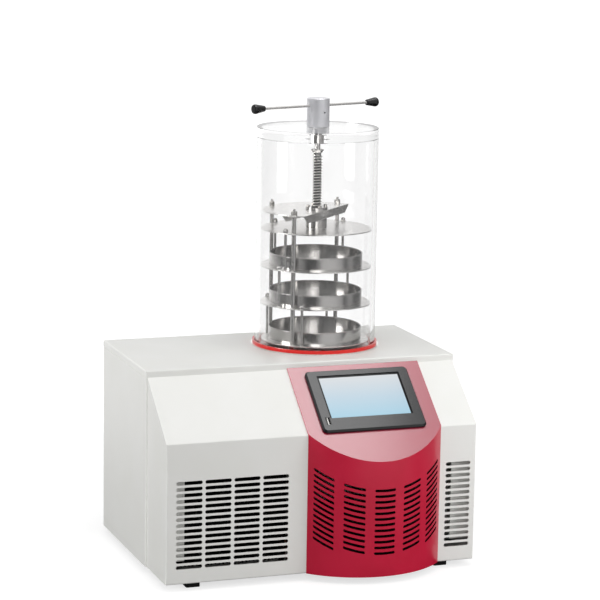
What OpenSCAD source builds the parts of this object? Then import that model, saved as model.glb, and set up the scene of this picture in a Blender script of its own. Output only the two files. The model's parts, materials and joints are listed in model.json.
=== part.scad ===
// Benchtop freeze dryer: a sheet metal cabinet that holds the refrigeration
// unit and the cold trap, and a clear drying chamber with a stoppering rack.
// Millimetres, +Z up, front towards -Y, origin on the floor under the middle.

/* [Cabinet] */
// Width over the side panels
body_w = 600; // [540:5:720]
// Depth from the flat front face to the back panel
body_d = 420; // [400:5:520]
// Height from the cabinet's underside to the top of its lid
body_h = 365; // [330:5:440]
// Thickness of the sheet metal
sheet = 1.5; // [1:0.1:2]
// Outer radius of the bends in the sheet metal
bend_r = 3; // [2.2:0.1:5]
// Height of the lid's folded rim
lid_rim = 12; // [10:1:20]
// Length of the sloping panel, measured level
slope_run = 122; // [100:1:140]
// Height of the sloping panel, measured upright
slope_drop = 96; // [80:1:120]
// Step from each side panel in to the front cover's cheek
side_step = 3; // [1:0.5:5]
// Depth of the return flanges on the panels
flange_w = 15; // [10:1:25]
// Height of the rubber feet
foot_h = 13; // [8:1:25]
// Width of the square rubber feet
foot_w = 26; // [20:1:40]
// Distance from the cabinet's sides to the middle of a foot
foot_inset_x = 60; // [35:1:90]
// Distance from the front or back to the middle of a foot
foot_inset_y = 32; // [25:1:60]
// Width of the upright chassis strips behind the front cover
upright_w = 38; // [25:1:50]
// Distance from the front face back to the upright strips
upright_set = 20; // [12:1:26]

/* [Front vents] */
// Width of a vent slot in the front cover
vent_w = 49; // [30:1:60]
// Height of a vent slot
vent_h = 6.8; // [4:0.2:8]
// Distance from one vent slot to the next, across
vent_pitch_x = 54; // [40:1:65]
// Distance from one vent slot to the next, upwards
vent_pitch_z = 11; // [9:0.1:13]
// Rows of vent slots
vent_rows = 15; // [6:1:17]
// Columns of vent slots left of the fascia
vent_cols = 4; // [1:1:4]
// Height of the lowest row's middle above the underside
vent_z = 31; // [20:1:45]
// Middle of the outermost left column, from the cabinet's left side
vent_inset = 46; // [35:1:60]
// Middle of the right hand column, from the cabinet's right side
vent_inset_right = 38; // [32:1:45]

/* [Fascia] */
// Width of the bowed fascia
fascia_w = 258; // [215:1:280]
// Middle of the fascia, to the right of the cabinet's middle
fascia_x = 97; // [60:1:110]
// How far the fascia bows out in front of the flat front face
fascia_sag = 58; // [35:1:65]
// Wall of the fascia
fascia_wall = 2; // [1.5:0.1:3]
// Width of the lip turned in along the fascia's lower edge
fascia_lip = 9; // [6:1:14]
// Columns of slots in the fascia
louvre_cols = 5; // [3:1:5]
// Length of a slot, round the bow
louvre_w = 40; // [26:0.5:42]
// Distance from the outer slots to the fascia's edges, round the bow
louvre_edge = 12; // [8:0.5:20]
// Rows of slots in the inner columns
louvre_rows = 12; // [6:1:12]
// Distance from one row to the next
louvre_pitch = 10.6; // [9:0.1:12]
// Height of a slot
louvre_h = 5; // [2.5:0.1:5.5]
// Tilt of the rows, which drop towards the fascia's middle
louvre_tilt = 37; // [30:1:45]
// Height of the middle column's top slot
louvre_z = 160; // [140:1:165]

/* [Display] */
// Thickness of the frame
bezel_t = 6.5; // [4:0.5:8]
// Corner radius of the frame
bezel_r = 9; // [5:1:14]
// Distance from the slope's top edge to the frame
bezel_drop = 13; // [8:1:20]
// Width of the glass
screen_w = 161; // [140:1:180]
// Length of the glass along the slope
screen_l = 99; // [85:1:105]
// Frame left at each side of the glass
screen_side = 20; // [18:1:24]
// Frame left above the glass
screen_top = 14; // [10:1:20]
// Frame left below the glass
screen_bottom = 30; // [24:1:34]
// Width of the slanted edge round the frame
bezel_edge = 3; // [1:0.5:4]
// Depth of the panel's rear housing
housing_t = 32; // [20:1:36]
// Frame that overlaps the cut-out on each side
bezel_lap = 7; // [5:1:12]

/* [Drying chamber] */
// Middle of the chamber, to the right of the cabinet's middle
drum_x = 80; // [60:1:100]
// Distance from the cabinet's back to the flange under the chamber
drum_inset = 14.5; // [10:0.5:28]
// Outer diameter of the clear tube
drum_d = 230; // [225:1:276]
// Wall of the clear tube
drum_wall = 8; // [5:0.5:10]
// Thickness of the clear top plate
drum_top_t = 19; // [15:1:25]
// Thickness of the gasket under the tube
gasket_t = 2.5; // [2:0.5:4]
// Height of the gasket's outer lip
gasket_lip = 6; // [5:0.5:10]
// Width of the gasket's outer lip
gasket_rim = 3.5; // [2:0.5:5]
// How far the gasket reaches inside the tube
gasket_in = 3; // [2:0.5:5]
// Steel flange left outside the gasket
flange_rim = 2.7; // [1:0.1:6]
// Thickness of that flange
trap_flange_t = 2.5; // [1.5:0.1:4]
// Thickness of the trap's steel
trap_wall = 1.5; // [1:0.1:2]
// Depth of the cold trap below the lid
trap_depth = 150; // [120:5:170]
// Diameter of the evaporator tube round the trap
coil_d = 9.5; // [8:0.5:12]
// Turns of the evaporator tube
coil_turns = 6; // [3:1:8]
// Thickness of the foam round the coil
foam_t = 16; // [10:1:20]

/* [Rack] */
// Direction in which the rack is open, turned from straight right
rack_turn = -45; // [-90:1:0]
// Gap between the shelves' edges and the tube
shelf_gap = 2.5; // [2:0.5:6]
// Thickness of the shelves
shelf_t = 2; // [1.5:0.1:3]
// Distance from one shelf to the next
shelf_pitch = 70.5; // [66:0.5:85]
// Height of the lowest shelf's top above the lid
shelf_base = 13.5; // [12:0.5:18]
// Distance from a shelf's edge in to the middle of a guide post
post_edge = 8.5; // [7.5:0.5:12]
// Diameter of the guide posts
post_d = 8; // [6:0.5:9]
// Diameter of the threaded end above each post
stud_d = 5; // [4:0.5:6]
// Distance from a shelf's edge in to the middle of a hanger rod
hanger_edge = 7.5; // [6:0.5:9]
// Diameter of the hanger rods
hanger_d = 5; // [4:0.5:5.5]
// Diameter of the hanger heads
hanger_head = 9; // [7:0.5:9]
// Gap between the trays and the guide posts
tray_gap = 3; // [1:0.5:8]
// Height of the trays
tray_h = 24; // [18:1:30]
// Wall of the trays
tray_wall = 1.2; // [0.8:0.1:1.6]
// Diameter of the rolled bead along a tray's rim
tray_bead = 2.6; // [2:0.1:4]

/* [Stoppering press] */
// Height from the top shelf's top to the bridge's underside
bridge_rise = 32; // [30:1:36]
// Thickness of the bridge
bridge_t = 2; // [1.5:0.1:3]
// Gap between the bridge's round side and the tube
bridge_gap = 5; // [3:0.5:6]
// Distance from the axis to the bridge's two flanges
bridge_half = 23; // [22:0.5:26]
// Height of the bridge's flanges
bridge_flange = 13; // [10:1:14]
// Length cut off the lower corner of each flange
bridge_bevel = 16; // [8:1:24]
// Diameter of the press screw
screw_d = 19.6; // [16:0.2:20]
// Pitch of the press screw
screw_pitch = 4; // [3:0.5:5]
// Depth of the screw's grooves
screw_groove = 1.5; // [1:0.1:2]
// Length of thread left above the nut when pressed
screw_spare = 24; // [18:1:40]
// Free height between the screw's top and the top plate, at rest
head_room = 13; // [8:1:60]
// Diameter of the nut's flange
nut_flange_d = 42; // [38:1:43]
// Thickness of the nut's flange
nut_flange_t = 5; // [4:0.5:7]
// Diameter of the nut's barrel
nut_barrel_d = 28; // [26:1:32]
// Length of the nut's barrel below the bridge
nut_barrel_l = 8; // [6:1:10]
// Diameter of the press foot
press_foot_d = 40; // [34:1:42]
// Height of the press foot
press_foot_h = 19; // [16:1:20]
// Diameter of the screw's plain tip, which turns in the foot
tip_d = 12; // [10:0.5:14]
// Length of the screw's plain tip
tip_l = 9; // [7:1:11]
// Diameter of the drive shaft
shaft_d = 10.5; // [9:0.5:12]
// Width across the flats of the shaft's hexagon
hex_af = 8.6; // [7:0.1:8.8]
// Turns of the handle from open to pressed
press_turns = 20; // [10:1:20]
// Diameter of the handle's hub
hub_d = 43; // [36:1:46]
// Height of the handle's hub
hub_h = 54; // [45:1:60]
// Diameter of the tommy bar
bar_d = 5.5; // [5:0.5:8]
// Length of the tommy bar
bar_l = 276; // [240:2:300]
// Height of the tommy bar above the hub's underside
bar_z = 40; // [32:1:44]
// Sideways shift of the tommy bar in its hub
bar_shift = -5; // [-12:1:12]
// Direction of the tommy bar, turned from straight right
bar_turn = 18; // [-90:1:90]
// Length of the bar's end knobs
knob_l = 26; // [18:1:30]
// Diameter of the knobs' outer ends
knob_d = 18; // [12:1:20]

/* [Refrigeration] */
// Diameter of the compressor's shell
comp_d = 150; // [130:1:156]
// Height of the compressor's shell
comp_h = 175; // [150:1:200]
// Middle of the compressor, to the left of the cabinet's middle
comp_x = 165; // [160:1:180]
// Middle of the compressor, from the cabinet's back
comp_back = 135; // [125:1:150]
// Width of the condenser
cond_w = 216; // [190:1:220]
// Height of the condenser
cond_h = 176; // [150:1:185]
// Depth of the condenser
cond_t = 28; // [20:1:30]
// Distance from the front face to the condenser
cond_set = 28; // [26:1:32]
// Distance from one condenser fin to the next
fin_pitch = 7.2; // [6:0.2:10]
// Thickness of a condenser fin
fin_t = 0.8; // [0.5:0.1:1]
// Diameter of the condenser fan
fan_d = 150; // [130:1:156]
// Blades of the condenser fan
fan_blades = 5; // [3:1:7]
// Twist of the fan blades against the fan's plane
fan_pitch_a = 28; // [20:1:32]

/* [Fittings] */
// Length of the vacuum port behind the back panel
port_l = 38; // [24:1:45]
// Diameter of the vacuum port's flange, the 40 mm of a KF25 joint
port_flange_d = 40; // [40:0.5:41]
// Diameter of the vacuum port's recess for the centring ring
port_recess_d = 26.2; // [26:0.1:26.4]
// Depth of the vacuum port's recess
port_recess_l = 3; // [2.5:0.1:4]
// Bore of the vacuum port
port_bore_d = 24; // [20:1:24]
// Outer diameter of the vacuum port's pipe
port_pipe_d = 28; // [28:0.5:29]
// Diameter of the drain spout
spout_d = 10; // [8:0.5:12]
// Length of the drain spout outside its valve
spout_l = 14; // [10:1:20]
// Diameter of the vent knob
vent_knob_d = 22; // [16:1:28]
// Rest angle of the power switch's rocker
rocker_tilt = 9; // [6:1:12]

/* [Hidden] */
$fn = 96;

// Overlap of cutters past a face, and of two shapes that join in one
eps = 1;
sliver = 0.01;
// Flats in each bend
bend_steps = 4;
// Play all round between pieces that are put together
play = 0.3;
// Radial play of a shaft in its bearing
run_play = 0.06;

// Cabinet
cover_frame = 20;
cover_bridge = 24;
strip_end = 22;
web_w = 18;
web_drop = 25;
foot_r = 3;
front_w = body_w - 2 * side_step;
shoulder_z = body_h - lid_rim;
fold_z = shoulder_z - slope_drop;
slope_a = atan(slope_drop / slope_run);
front_y = (fascia_sag - body_d - port_l) / 2;

// Fascia
fascia_r = (pow(fascia_w / 2, 2) + pow(fascia_sag, 2)) / (2 * fascia_sag);
fascia_c = fascia_r - fascia_sag;
louvre_reach = 12;
louvre_span = degrees(louvre_w / fascia_r);
louvre_edge_a = asin(fascia_w / 2 / fascia_r) - degrees(louvre_edge / fascia_r);
louvre_turn = (2 * louvre_edge_a - louvre_span) / (louvre_cols - 1);

// Chamber and rack, as heights above the cabinet's underside
drum_r_in = drum_d / 2 - drum_wall;
gasket_d = drum_d + 2 * play + 2 * gasket_rim;
trap_flange_d = gasket_d + 2 * flange_rim;
drum_y = body_d - drum_inset - trap_flange_d / 2;
seat_z = body_h + trap_flange_t;
tube_z = seat_z + gasket_t;
base_z = body_h + shelf_base;
top_shelf_z = base_z + 3 * shelf_pitch;
bridge_z = top_shelf_z + bridge_rise;
nut_z = bridge_z + bridge_t;

rack_foot_d = 12;
slide_play = 0.5;
base_inset = 2;
shelf_d = 2 * (drum_r_in - shelf_gap);
post_r = shelf_d / 2 - post_edge;
hanger_r = shelf_d / 2 - hanger_edge;
tray_d = 2 * post_r - post_d - 2 * tray_gap;
trap_d = 2 * post_r - rack_foot_d;
coil_r = trap_d / 2 + trap_wall + play + coil_d / 2;
foam_r = coil_r + coil_d / 2 + play + foam_t;
foam_front_gap = 12;
foam_front = slope_run + foam_front_gap;
post_angles = [180, 90, -90];
upper_hanger_angles = [171, 82, -100];
middle_hanger_angles = [162, 74, -108];
lower_hanger_angles = [189, 101, -79];

// Press
bridge_d = 2 * (drum_r_in - bridge_gap);
press_travel = press_turns * screw_pitch;
screw_top = nut_z + nut_flange_t + press_travel + screw_spare;
screw_bottom = top_shelf_z + press_foot_h + 0.5;
shaft_lap = 14;
shaft_bottom = screw_top - press_travel - shaft_lap;
cup_h = 5;
cup_floor = 1.5;
cup_d = 25;

// Top plate and handle
boss_d = 32;
boss_drop = 10;
plate_z = screw_top + cup_h + head_room + boss_drop;
top_z = plate_z + drum_top_t;
bush_d = 23;
bush_l = 18;
sleeve_d = 16;
hub_groove = 19;
hub_bore = 30;
knob_neck_d = 11;
grub_d = 4;
grub_z = hub_groove + 9;
grub_turn = -75 - bar_turn;

// Back panel's fittings, as heights above the cabinet's underside
port_flange_t = 3;
port_taper = 15;
port_z = shoulder_z - port_pipe_d / 2 - 17;
vent_x = drum_x + 75;
drain_z = 60;
valve_d = 16;
valve_in = 16;
valve_nut_d = 24;
valve_nut_t = 2.5;
ball_y = 14;
ball_d = 20;
stem_d = 6;
stem_z = 13;
spout_wall = 1.5;
lever_t = 3;
lever_l = 30;
lever_w = 8;
lever_eye = 12;
vent_out = 8;
vent_knob_l = 14;
vent_stem = 20;
vent_hole = 3;
socket_x = body_w / 2 - 50;
socket_z = [60, 100, 140];
socket_w = 28;
socket_h = 20;
socket_l = 24;
socket_t = 2.5;
socket_ear = 11;
socket_rim = 3;
recess_l = 16;
recess_rim = 2;
pin_w = 2;
pin_h = 4;
core_gap = 4;
rocker_w = 11;
rocker_l = 15;
rocker_in = 5;
rocker_recess = 12;

// Display
glass_set = 1.5;
bezel_w = screen_w + 2 * screen_side;
bezel_l = screen_top + screen_l + screen_bottom;
cutter_l = 8;
usb_w = 9;
usb_l = 17;
usb_gap = 1.5;
usb_up = 24;
usb_x = -screen_w / 2 - usb_gap - usb_w / 2;
usb_y = usb_up - bezel_l / 2;
usb_wall = 1.2;
usb_set = 0.5;
usb_tongue = 2;

// Cold trap
drain_d = 12;
drain_stub = foam_t + 6;
coil_pitch = coil_d + 3;
riser_d = 7.6;
coil_tail = coil_d + foam_t + 18;

// Press and rack fasteners
hex_play = 0.15;
nut_bolt_d = 4;
nut_bolt_r = (nut_flange_d + nut_barrel_d) / 4;
nut_af = 10;
nut_h = 8;
nut_edge = 1.5;
stud_tip = 4;

// Refrigeration
floor_z = 2 * sheet;
grommet_d = 22;
grommet_h = 12;
grommet_y = 45;
base_t = 3;
comp_base_l = 120;
comp_ear = 11;
comp_seam = 99;
seam_w = 2;
seam_h = 5;
dome_r = 30;
comp_z = floor_z + grommet_h;
comp_y = body_d - comp_back;
pipe_d = 8;
elbow_r = 10;
elbow_wall = 1;
elbow_lap = 3;
stub_l = 12;
suction_off = 22;
suction_z = comp_z + comp_seam + 18;
discharge_off = 30;
discharge_z = comp_z + comp_seam - 13;
cond_x = vent_inset - body_w / 2 + (vent_cols - 1) / 2 * vent_pitch_x;
cond_z = flange_w + 8;
cond_rows = 6;
cond_bend = 4;
cond_stub = 6;
fan_gap = 4;
fan_ring = 22;
fan_hub_d = 50;
fan_hub_z = 3;
fan_hub_l = 17;
blade_w = 36;
blade_t = 1.6;
motor_d = 60;
motor_l = 38;
motor_shaft_d = 6;
arm_w = 12;
arm_t = 2;
clamp_wall = 4;
clamp_h = 6;
drier_d = 20;
drier_l = 100;
drier_x = -45;
drier_y = drum_y - coil_r;
drier_z = 50;
pipe_gap = 12;
box_l = 240;
box_h = 200;
box_y = 100;
box_gap = 5;
box_cap = 3;
box_foam_gap = 10.4;
box_w = body_w / 2 - flange_w - box_gap - drum_x - foam_r - box_foam_gap;

module in_cabinet() {
    translate([0, front_y, foot_h]) children();
}

// Frame with its origin in the middle of the slope's top edge, X across,
// -Y down the slope and Z out of it
module on_slope() {
    in_cabinet() translate([fascia_x, slope_run, shoulder_z])
        rotate([slope_a, 0, 0]) children();
}

module on_drum() {
    in_cabinet() translate([drum_x, drum_y, 0]) children();
}

// Frame of the rack, open towards +X
module on_rack(z) {
    on_drum() translate([0, 0, z]) rotate([0, 0, rack_turn]) children();
}

module stadium(w, h) {
    square([w - h, h], center = true);
    for (s = [-1, 1])
        translate([s * (w - h) / 2, 0]) circle(d = h, $fn = 24);
}

module round_rect(w, l, r) {
    square([w - 2 * r, l], center = true);
    square([w, l - 2 * r], center = true);
    for (x = [-1, 1], y = [-1, 1])
        translate([x * (w / 2 - r), y * (l / 2 - r)]) circle(r = r, $fn = 32);
}

module ring(r_in, r_out, h) {
    difference() {
        cylinder(r = r_out, h = h);
        translate([0, 0, -eps]) cylinder(r = r_in, h = h + 2 * eps);
    }
}

function degrees(radians) = radians * 180 / PI;

// Points that round the corner at b with radius r, on the way from a to c
function corner(a, b, c, r) =
    r == 0 ? [b] : let (
        u = (a - b) / norm(a - b),
        v = (c - b) / norm(c - b),
        half = acos(u * v) / 2,
        middle = b + (u + v) / norm(u + v) * r / sin(half),
        first = b + u * r / tan(half) - middle,
        turn = cross(u, v) > 0 ? 2 * half - 180 : 180 - 2 * half
    ) [
        for (i = [0 : bend_steps])
            let (a = atan2(first.y, first.x) + turn * i / bend_steps)
                middle + r * [cos(a), sin(a)]
    ];

// An outline with each corner rounded to its own radius
function outline(p, radii) = [
    for (i = [0 : len(p) - 1])
        each corner(p[(i + len(p) - 1) % len(p)], p[i], p[(i + 1) % len(p)], radii[i])
];

// Corners of the rectangle from a to b
function rect(a, b) = [a, [b.x, a.y], b, [a.x, b.y]];

// A shape drawn in Y and Z, extruded w wide and centred on X
module across(w) {
    rotate([90, 0, 90]) linear_extrude(w, center = true) children();
}

// A shape drawn in X and Z, extruded l long and centred on Y
module along(l) {
    rotate([90, 0, 0]) linear_extrude(l, center = true) children();
}

// Solid under the faces of a folded pan from one corner to the other, inset
// by the wall t; its closed side is at the top where up is true
module pan(low, high, t, up) {
    reach = t > 0 ? eps : 0;
    a = [low.x + t, low.y + t, up ? low.z - reach : low.z + t];
    b = [high.x - t, high.y - t, up ? high.z - t : high.z + reach];
    r = bend_r - t;
    radii = up ? [0, 0, r, r] : [r, r, 0, 0];
    intersection() {
        along(3 * body_d) polygon(outline(rect([a.x, a.z], [b.x, b.z]), radii));
        across(2 * body_w) polygon(outline(rect([a.y, a.z], [b.y, b.z]), radii));
        translate([0, 0, a.z - eps]) linear_extrude(b.z - a.z + 2 * eps)
            polygon(outline(rect([a.x, a.y], [b.x, b.y]), [r, r, r, r]));
    }
}

// ---- Cabinet ----

module chassis() {
    color("gainsboro") in_cabinet() {
        inner_w = front_w - 2 * sheet - 2 * play;
        low = [-inner_w / 2, sheet + play, sheet];
        high = [inner_w / 2, body_d - sheet - play, sheet + flange_w];
        difference() {
            pan(low, high, 0, false);
            pan(low, high, sheet, false);
        }
        for (s = [-1, 1])
            translate([s * (inner_w - upright_w) / 2, upright_set, 0]) {
                translate([-upright_w / 2, 0, flange_w + strip_end])
                    cube([upright_w, sheet, fold_z - flange_w - 2 * strip_end]);
                translate([s * (upright_w - sheet) / 2 - sheet / 2, 0, floor_z])
                    cube([sheet, web_w, fold_z - web_drop]);
            }
    }
}

// Side view of the cabinet's front, inset from its faces by the wall t
module front_outline(t) {
    rise = tan(slope_a);
    reach = t > 0 ? eps : 0;
    polygon(outline([
        [t, t],
        [slope_run + reach, t],
        [slope_run + reach, shoulder_z - t / cos(slope_a) + reach * rise],
        [t, fold_z - t * tan(slope_a / 2)]
    ], [bend_r - t, 0, 0, bend_r - t]));
}

// Solid under the front cover's faces, inset by the wall t
module front_block(t) {
    w = front_w - 2 * t;
    intersection() {
        across(w) front_outline(t);
        linear_extrude(2 * body_h, center = true)
            polygon(outline(rect([-w / 2, t], [w / 2, body_d]), [bend_r - t, bend_r - t, 0, 0]));
    }
}

module vent_grid(cols) {
    for (c = [0 : cols - 1], r = [0 : vent_rows - 1])
        translate([c * vent_pitch_x, vent_z + r * vent_pitch_z])
            stadium(vent_w, vent_h);
}

module front_cutter() {
    along(4 * sheet) {
        translate([vent_inset - body_w / 2, 0]) vent_grid(vent_cols);
        translate([body_w / 2 - vent_inset_right, 0]) vent_grid(1);
    }
}

module front_cover() {
    opening_w = fascia_w - 2 * cover_frame;
    opening_z = flange_w + cover_frame / 2;
    opening_h = fold_z - opening_z - cover_bridge;
    color("whitesmoke") difference() {
        in_cabinet() difference() {
            front_block(0);
            front_block(sheet);
            translate([-front_w / 2 + sheet, flange_w, -eps])
                cube([front_w - 2 * sheet, slope_run, sheet + 2 * eps]);
            front_cutter();
            translate([fascia_x - opening_w / 2, -eps, opening_z])
                cube([opening_w, sheet + 2 * eps, opening_h]);
        }
        display_cutter();
    }
}

// The space under a bowed outline, inset from the fascia's outer face
module fascia_envelope(inset, z) {
    slope = tan(slope_a);
    out = (fascia_wall - inset) / cos(slope_a);
    intersection() {
        translate([fascia_x, 0, z]) linear_extrude(body_h) {
            intersection() {
                translate([0, fascia_c]) circle(r = fascia_r - inset, $fn = 180);
                translate([inset - fascia_w / 2, -fascia_sag - eps])
                    square([fascia_w - 2 * inset, fascia_sag + eps]);
            }
            translate([inset - fascia_w / 2, -sliver])
                square([fascia_w - 2 * inset, slope_run + sliver]);
        }
        translate([fascia_x, 0, 0]) across(fascia_w + 2 * eps) polygon([
            [-fascia_sag - eps, z],
            [-fascia_sag - eps, fold_z - (fascia_sag + eps) * slope + out],
            [slope_run, shoulder_z + out],
            [slope_run, z]
        ]);
    }
}

module louvre_cutter() {
    mid = (louvre_cols - 1) / 2;
    for (c = [0 : louvre_cols - 1]) {
        a = (c - mid) * louvre_turn;
        x0 = fascia_r * sin(a - louvre_span / 2);
        x1 = fascia_r * sin(a + louvre_span / 2);
        rows = abs(c - mid) == mid ? louvre_rows + 1 : louvre_rows;
        for (r = [0 : rows - 1])
            translate([fascia_x + (x0 + x1) / 2, -fascia_sag,
                       louvre_z - r * louvre_pitch])
                rotate([louvre_tilt - 90, 0, 0])
                    translate([0, 0, -louvre_reach])
                        linear_extrude(fascia_sag / cos(louvre_tilt) + 2 * louvre_reach)
                            stadium(x1 - x0, louvre_h * cos(louvre_tilt));
    }
}

module fascia() {
    color("crimson") difference() {
        in_cabinet() difference() {
            fascia_envelope(0, 0);
            fascia_envelope(fascia_wall, fascia_wall);
            fascia_envelope(fascia_lip, -eps);
            translate([fascia_x, 0, 0]) across(fascia_w + 4 * eps)
                polygon([[0, -eps], [0, fold_z], [slope_run, shoulder_z],
                         [body_d, shoulder_z], [body_d, -eps]]);
            louvre_cutter();
        }
        display_cutter();
    }
}

// Solid under a side panel's faces, inset by the wall t
module side_block(t) {
    reach = t > 0 ? eps : 0;
    front = slope_run + play + t;
    back = body_d - sheet - play - t;
    in_x = body_w / 2 - flange_w - reach;
    out_x = body_w / 2 - t;
    high = shoulder_z - t;
    r = bend_r - t;
    intersection() {
        translate([0, 0, -eps]) linear_extrude(body_h)
            polygon(outline(rect([in_x, front], [out_x, back]), [0, r, r, 0]));
        along(2 * body_d) polygon(outline(rect([in_x, -reach], [out_x, high]), [0, 0, r, 0]));
    }
}

// The side panels are drawn on the right and mirrored to the left: a web
// with flanges folded in at the front, the back and the top, which end
// above the chassis tray
module side_panel() {
    in_cabinet() difference() {
        side_block(0);
        side_block(sheet);
        translate([body_w / 2 - flange_w - eps, 0, -eps])
            cube([flange_w - bend_r + eps, body_d, flange_w + floor_z + sheet + eps]);
    }
}

module side_panel_left() {
    color("gainsboro") mirror([1, 0, 0]) side_panel();
}

module side_panel_right() {
    color("gainsboro") side_panel();
}

module back_cutter() {
    along(6 * sheet) {
        translate([-comp_x - vent_pitch_x, 0]) vent_grid(3);
        translate([drum_x, port_z]) circle(d = port_pipe_d + 2 * play);
        translate([drum_x, drain_z]) circle(d = valve_d + 2 * play);
        translate([vent_x, port_z]) circle(d = valve_d + 2 * play);
        for (z = socket_z)
            translate([socket_x, z])
                square([socket_w + 2 * play, socket_h + 2 * play], center = true);
    }
}

module back_panel() {
    w = body_w - 2 * sheet - 2 * play;
    color("gainsboro") in_cabinet() difference() {
        translate([-w / 2, body_d - sheet, 0])
            cube([w, sheet, shoulder_z - play]);
        translate([0, body_d, 0]) back_cutter();
    }
}

module top_lid() {
    low = [-body_w / 2, slope_run, shoulder_z];
    high = [body_w / 2, body_d, body_h];
    color("gainsboro") in_cabinet() difference() {
        pan(low, high, 0, true);
        pan(low, high, sheet, true);
        translate([drum_x, drum_y, shoulder_z])
            cylinder(r = trap_d / 2 + trap_wall + play, h = lid_rim + eps);
    }
}

// Square rubber feet, each with a plug that snaps into the chassis
module feet() {
    color("black") in_cabinet()
        for (x = [-1, 1], y = [foot_inset_y, body_d - foot_inset_y])
            translate([x * (body_w / 2 - foot_inset_x), y, -foot_h]) {
                linear_extrude(foot_h) round_rect(foot_w, foot_w, foot_r);
                cylinder(d = foot_w / 3, h = foot_h + sheet);
            }
}

// ---- Display ----

module bezel_frame() {
    on_slope() translate([0, -bezel_drop - bezel_l / 2, fascia_wall]) children();
}

module display_cutter() {
    w = bezel_w - 2 * bezel_lap;
    l = bezel_l - 2 * bezel_lap;
    bezel_frame() translate([-w / 2, -l / 2, -fascia_wall - cutter_l])
        cube([w, l, fascia_wall + cutter_l + eps]);
}

module screen_place() {
    bezel_frame() translate([0, (bezel_l - screen_l) / 2 - screen_top, 0])
        children();
}

module display_bezel() {
    e = bezel_edge;
    color("dimgray") difference() {
        bezel_frame() hull() {
            linear_extrude(bezel_t - e) round_rect(bezel_w, bezel_l, bezel_r);
            linear_extrude(bezel_t)
                round_rect(bezel_w - 2 * e, bezel_l - 2 * e, bezel_r - e);
        }
        screen_place() translate([-screen_w / 2, -screen_l / 2, -eps])
            cube([screen_w, screen_l, bezel_t + 2 * eps]);
        usb_place() translate([-usb_w / 2, -usb_l / 2, -eps])
            cube([usb_w, usb_l, bezel_t + 2 * eps]);
    }
}

module display_glass() {
    color("lightsteelblue") screen_place()
        translate([play - screen_w / 2, play - screen_l / 2, 0])
            cube([screen_w - 2 * play, screen_l - 2 * play, bezel_t - glass_set]);
}

module display_housing() {
    w = bezel_w - 2 * bezel_lap - 2 * play;
    l = bezel_l - 2 * bezel_lap - 2 * play;
    color("dimgray") bezel_frame() translate([-w / 2, -l / 2, -housing_t])
        cube([w, l, housing_t]);
}

module usb_place() {
    bezel_frame() translate([usb_x, usb_y, 0]) children();
}

module usb_socket() {
    color("silver") usb_place() {
        difference() {
            translate([play - usb_w / 2, play - usb_l / 2, 0])
                cube([usb_w - 2 * play, usb_l - 2 * play, bezel_t - usb_set]);
            translate([usb_wall - usb_w / 2, usb_wall - usb_l / 2, usb_wall])
                cube([usb_w - 2 * usb_wall, usb_l - 2 * usb_wall, bezel_t]);
        }
        translate([-usb_tongue / 2, usb_wall - usb_l / 2, usb_wall])
            cube([usb_tongue, usb_l - 2 * usb_wall, bezel_t - 3 * usb_set - usb_wall]);
    }
}

// ---- Cold trap ----

module trap_well() {
    r = trap_d / 2;
    low = body_h - trap_depth;
    color("silver") on_drum() difference() {
        union() {
            translate([0, 0, body_h]) cylinder(d = trap_flange_d, h = trap_flange_t);
            translate([0, 0, low]) cylinder(r = r + trap_wall, h = trap_depth);
            translate([0, 0, low - drain_stub]) cylinder(d = drain_d, h = drain_stub);
        }
        translate([0, 0, low + trap_wall]) cylinder(r = r, h = trap_depth + eps);
        translate([0, 0, low - drain_stub - eps])
            cylinder(d = drain_d - 2 * trap_wall, h = drain_stub + 2 * trap_wall);
        translate([0, 0, port_z]) rotate([-90, 0, 0])
            cylinder(d = port_pipe_d + 2 * play, h = trap_d);
    }
}

module trap_coil() {
    color("peru") on_drum() translate([0, 0, body_h - trap_depth + coil_d]) {
        for (i = [0 : coil_turns - 1])
            translate([0, 0, i * coil_pitch])
                rotate_extrude() translate([coil_r, 0]) circle(d = coil_d);
        translate([0, -coil_r, -coil_tail])
            cylinder(d = riser_d, h = coil_tail + (coil_turns - 1) * coil_pitch);
    }
}

module trap_foam() {
    low = body_h - trap_depth - play;
    high = body_h - sheet - play;
    color("dimgray") on_drum() difference() {
        translate([0, 0, low - foam_t]) cylinder(r = foam_r, h = high - low + foam_t);
        translate([-foam_r, foam_front - drum_y - foam_r, low - foam_t - eps])
            cube([2 * foam_r, foam_r, high]);
        translate([0, 0, low]) cylinder(r = foam_r - foam_t, h = high);
        translate([0, 0, low - foam_t - eps])
            cylinder(d = drain_d + 2 * play, h = foam_t + 2 * eps);
        translate([0, -coil_r, low - foam_t - eps])
            cylinder(d = riser_d + 2 * play, h = foam_t + 2 * eps);
        translate([0, 0, port_z]) rotate([-90, 0, 0])
            cylinder(d = port_pipe_d + 2 * play, h = drum_d);
    }
}

module chamber_gasket() {
    r_in = drum_r_in - gasket_in;
    r_tube = drum_d / 2 + play;
    r_out = gasket_d / 2;
    color("firebrick") on_drum() rotate_extrude() polygon([
        [r_in, seat_z], [r_out, seat_z], [r_out, seat_z + gasket_lip],
        [r_tube, seat_z + gasket_lip], [r_tube, tube_z], [r_in, tube_z]
    ]);
}

// ---- Drying chamber ----

module chamber_tube() {
    color("azure", 0.3) on_drum() translate([0, 0, tube_z])
        ring(drum_r_in, drum_d / 2, plate_z - tube_z);
}

// Bore for the bush, stepped so that the bush can't be drawn upwards
module bush_shape(gap) {
    translate([0, 0, plate_z - boss_drop]) cylinder(d = bush_d + 2 * gap, h = bush_l);
    translate([0, 0, plate_z - boss_drop])
        cylinder(d = sleeve_d + 2 * gap, h = drum_top_t + boss_drop);
}

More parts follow.
